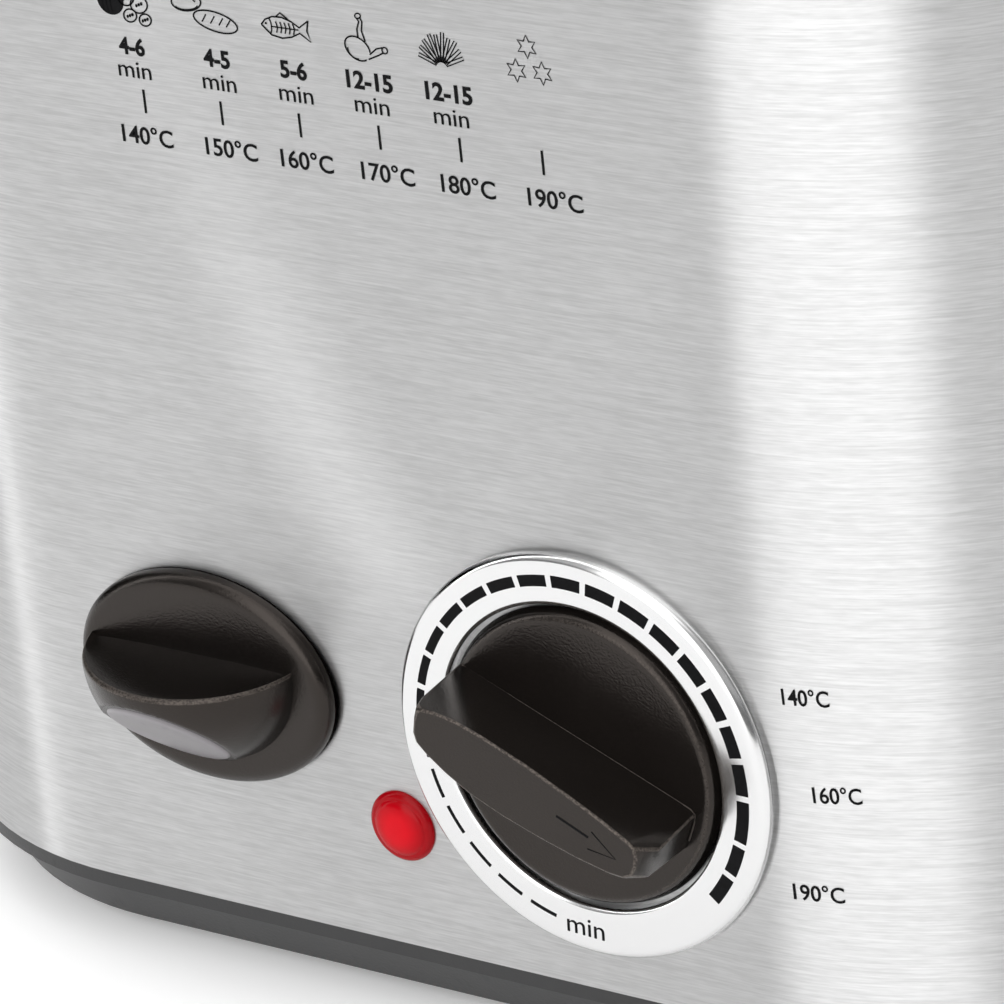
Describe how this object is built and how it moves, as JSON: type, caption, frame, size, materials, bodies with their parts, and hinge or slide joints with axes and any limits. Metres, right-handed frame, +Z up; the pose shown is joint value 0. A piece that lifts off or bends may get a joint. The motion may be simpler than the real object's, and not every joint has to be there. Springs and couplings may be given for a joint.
{
  "type": "deep fryer",
  "caption": "Household deep fryer: steel housing with thermostat dial, drain knob and pilot lamp, fixed bowl, lift-out basket and hinged lid with window and filter.",
  "frame": {"origin": "on the table, under the middle of the housing", "axes": "+X to the right seen from the front, +Y to the back, +Z up; the control panel faces -Y"},
  "size_m": [0.304, 0.316, 0.2638],
  "materials": {
    "brushed_steel": "brushed",
    "black_housing": "satin",
    "knob_black": "satin",
    "pad_grey": "polished",
    "ring_chrome": "polished",
    "lens_red": "polished",
    "lamp_white": "matt",
    "neon_glass": "clear",
    "rubber": "matt",
    "silicone": "matt",
    "bowl_coating": "satin",
    "aluminium": "satin",
    "zinc_steel": "satin",
    "element_steel": "satin",
    "ceramic": "matt",
    "phenolic": "matt",
    "brass": "satin",
    "window_glass": "clear",
    "filter_foam": "matt",
    "wire_chrome": "polished"
  },
  "bodies": {
    "housing": {"base_tray": "black_housing", "rubber_feet": "rubber", "tie_rods": "zinc_steel", "steel_shell": "brushed_steel", "top_collar": "black_housing", "hinge_pins": "zinc_steel", "left_grip": "black_housing", "right_grip": "black_housing", "frying_bowl": "bowl_coating", "bowl_seal": "silicone", "heating_element": "element_steel", "element_terminals": "ceramic", "clamp_plate": "aluminium", "thermal_cutout": "ceramic", "heat_shield": "aluminium", "shield_posts": "zinc_steel", "thermostat_bracket": "zinc_steel", "bracket_screws": "zinc_steel", "thermostat_body": "phenolic", "sensing_bulb": "brass", "capillary_tube": "brass", "dial_ring": "ring_chrome", "pilot_lens": "lens_red", "lamp_socket": "lamp_white", "neon_lamp": "neon_glass", "drain_outlet": "brass", "outlet_nut": "brass", "valve_body": "brass", "valve_cap": "brass", "stem_seal": "rubber", "drain_nozzle": "zinc_steel", "drain_hose": "silicone", "hose_clips": "zinc_steel", "cord_gland": "rubber", "terminal_block": "phenolic", "button_spring": "zinc_steel"},
    "lid": {"lid_shell": "black_housing", "lid_liner": "aluminium", "lid_screws": "zinc_steel", "lid_gasket": "silicone", "window_frame": "ring_chrome", "window_glass": "window_glass", "window_seal": "silicone", "filter_tray": "black_housing", "filter_mat": "filter_foam", "lid_latch": "black_housing"},
    "filter_cover": {"filter_cover": "black_housing"},
    "basket": {"basket_frame": "wire_chrome", "basket_mesh": "wire_chrome", "basket_bracket": "wire_chrome"},
    "handle": {"handle_wires": "wire_chrome", "handle_grip": "knob_black"},
    "thermostat_knob": {"thermostat_knob": "knob_black", "knob_spindle": "zinc_steel", "knob_clip": "zinc_steel"},
    "drain_knob": {"drain_knob": "knob_black", "drain_knob_pad": "pad_grey", "valve_stem": "zinc_steel", "valve_rotor": "brass"},
    "latch_button": {"latch_button": "black_housing"}
  },
  "joints": [
    {"name": "lid_open", "type": "hinge", "parent": "housing", "child": "lid", "pos_m": [0, 0.149, 0.221], "axis": [-1, 0, 0], "range_deg": [0, 80]},
    {"name": "filter_cover_open", "type": "hinge", "parent": "lid", "child": "filter_cover", "pos_m": [0, 0.097, 0.2612], "axis": [-1, 0, 0], "range_deg": [0, 60]},
    {"name": "basket_lift", "type": "slide", "parent": "housing", "child": "basket", "axis": [0, 0, 1], "range_m": [0, 0.06982]},
    {"name": "handle_fold", "type": "hinge", "parent": "basket", "child": "handle", "pos_m": [0, -0.0913, 0.206], "axis": [1, 0, 0], "range_deg": [0, 164.1]},
    {"name": "thermostat_turn", "type": "hinge", "parent": "housing", "child": "thermostat_knob", "pos_m": [0.0359, -0.15, 0.0566], "axis": [0, 1, 0], "range_deg": [-203, 73]},
    {"name": "drain_turn", "type": "hinge", "parent": "housing", "child": "drain_knob", "pos_m": [-0.0374, -0.15, 0.0567], "axis": [0, 1, 0], "range_deg": [0, 90]},
    {"name": "latch_press", "type": "slide", "parent": "housing", "child": "latch_button", "axis": [0, 1, 0], "range_m": [0, 0.003], "stiffness_N_per_m": 600, "deforming": ["button_spring"]}
  ],
  "couplings": [
    {"joint": "basket_lift", "follows": "lid_open", "m_per_rad": 0.05},
    {"joint": "handle_fold", "follows": "lid_open", "ratio": 2.05}
  ]
}
